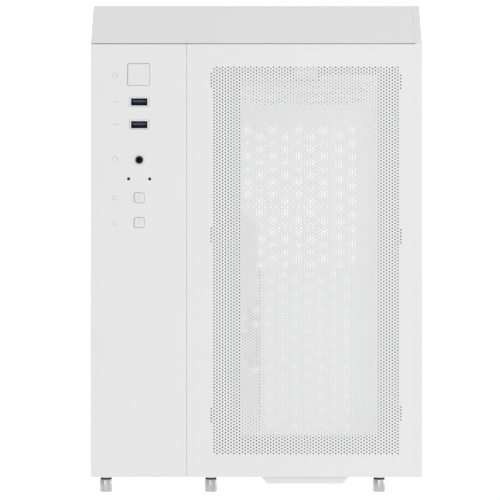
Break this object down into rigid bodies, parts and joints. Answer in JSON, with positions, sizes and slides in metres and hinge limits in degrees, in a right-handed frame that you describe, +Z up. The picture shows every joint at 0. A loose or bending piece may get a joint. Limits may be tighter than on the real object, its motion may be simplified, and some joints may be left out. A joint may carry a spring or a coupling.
{
  "type": "desktop computer tower",
  "caption": "White steel desktop computer tower with a perforated front, front connectors, a sloping top hood and a glass side.",
  "frame": {"origin": "on the floor under the centre of the tower", "axes": "+X to the right seen from the front, +Y to the back, +Z up"},
  "size_m": [0.268, 0.408, 0.4],
  "materials": {
    "white_steel": "fine-grained white powder coat",
    "white_plastic": "satin white",
    "black_plastic": "satin black",
    "grey_plastic": "satin grey",
    "bright_steel": "bright, fine turning marks",
    "aluminium": "satin",
    "board_lacquer": "white solder lacquer",
    "clear_glass": "clear, tempered",
    "cable_sleeve": "woven white sleeve"
  },
  "bodies": {
    "chassis": {"base_pan": "white_steel", "rear_wall": "white_steel", "front_frame": "white_steel", "divider_wall": "white_steel", "roof_plate": "white_steel", "front_io_panel": "white_steel", "foot_front_left": "bright_steel", "foot_front_middle": "bright_steel", "foot_front_right": "bright_steel", "foot_rear_left": "bright_steel", "foot_rear_middle": "bright_steel", "foot_rear_right": "bright_steel", "usb_port_1": "bright_steel", "usb_port_2": "bright_steel", "audio_jack": "black_plastic", "power_light": "grey_plastic", "drive_light": "grey_plastic", "io_board": "black_plastic", "motherboard": "board_lacquer", "rear_ports": "bright_steel", "io_shield": "bright_steel", "slot_cover_1": "white_steel", "slot_cover_2": "white_steel", "slot_cover_3": "white_steel", "slot_cover_4": "white_steel", "slot_cover_5": "white_steel", "slot_cover_6": "white_steel", "slot_cover_7": "white_steel", "cpu_heatsink": "aluminium", "cpu_fan_frame": "white_plastic", "memory_module_1": "white_plastic", "memory_module_2": "white_plastic", "vrm_heatsink": "aluminium", "expansion_slot": "white_plastic", "power_header": "white_plastic", "supply_case": "white_steel", "power_inlet": "black_plastic", "drive_bracket": "white_steel", "hard_drive": "aluminium", "solid_state_drive": "grey_plastic", "top_fan_frame_1": "white_plastic", "top_fan_frame_2": "white_plastic", "main_power_cable": "cable_sleeve", "front_io_cable": "cable_sleeve"},
    "power_button": {"power_button": "white_plastic"},
    "reset_button": {"reset_button": "white_plastic"},
    "light_button": {"light_button": "white_plastic"},
    "front_mesh": {"front_mesh_panel": "white_steel"},
    "hood": {"top_hood": "white_steel"},
    "left_panel": {"left_side_panel": "white_steel", "thumbscrew_1": "white_steel", "thumbscrew_2": "white_steel"},
    "glass_side": {"glass_panel": "clear_glass", "glass_frame": "white_steel"},
    "dust_filter": {"bottom_filter": "white_plastic"},
    "supply_switch": {"supply_switch": "black_plastic"},
    "cpu_fan": {"cpu_fan_rotor": "white_plastic"},
    "supply_fan": {"supply_fan_rotor": "white_plastic"},
    "top_fan_1": {"top_fan_rotor_1": "white_plastic"},
    "top_fan_2": {"top_fan_rotor_2": "white_plastic"}
  },
  "joints": [
    {"name": "power_press", "type": "slide", "parent": "chassis", "child": "power_button", "axis": [0, 1, 0], "range_m": [0, 0.0015], "stiffness_N_per_m": 900},
    {"name": "reset_press", "type": "slide", "parent": "chassis", "child": "reset_button", "axis": [0, 1, 0], "range_m": [0, 0.0012], "stiffness_N_per_m": 900},
    {"name": "light_press", "type": "slide", "parent": "chassis", "child": "light_button", "axis": [0, 1, 0], "range_m": [0, 0.0012], "stiffness_N_per_m": 900},
    {"name": "front_mesh_off", "type": "slide", "parent": "chassis", "child": "front_mesh", "axis": [0, -1, 0], "range_m": [0, 0.06]},
    {"name": "hood_off", "type": "slide", "parent": "chassis", "child": "hood", "axis": [0, 0, 1], "range_m": [0, 0.08]},
    {"name": "left_panel_slide", "type": "slide", "parent": "chassis", "child": "left_panel", "axis": [0, 1, 0], "range_m": [0, 0.05]},
    {"name": "glass_off", "type": "slide", "parent": "chassis", "child": "glass_side", "axis": [1, 0, 0], "range_m": [0, 0.06]},
    {"name": "filter_slide", "type": "slide", "parent": "chassis", "child": "dust_filter", "axis": [0, -1, 0], "range_m": [0, 0.3]},
    {"name": "supply_rocker", "type": "hinge", "parent": "chassis", "child": "supply_switch", "pos_m": [-0.064, 0.1922, 0.076], "axis": [1, 0, 0], "range_deg": [0, 15]},
    {"name": "cpu_fan_spin", "type": "hinge", "parent": "chassis", "child": "cpu_fan", "pos_m": [-0.005, 0.09, 0.105], "axis": [1, 0, 0], "continuous": true},
    {"name": "supply_fan_spin", "type": "hinge", "parent": "chassis", "child": "supply_fan", "pos_m": [-0.12, 0.1244, 0.095], "axis": [1, 0, 0], "continuous": true},
    {"name": "top_fan_1_spin", "type": "hinge", "parent": "chassis", "child": "top_fan_1", "pos_m": [0.042, -0.061, 0.35], "axis": [0, 0, 1], "continuous": true},
    {"name": "top_fan_2_spin", "type": "hinge", "parent": "chassis", "child": "top_fan_2", "pos_m": [0.042, 0.061, 0.35], "axis": [0, 0, 1], "continuous": true}
  ]
}
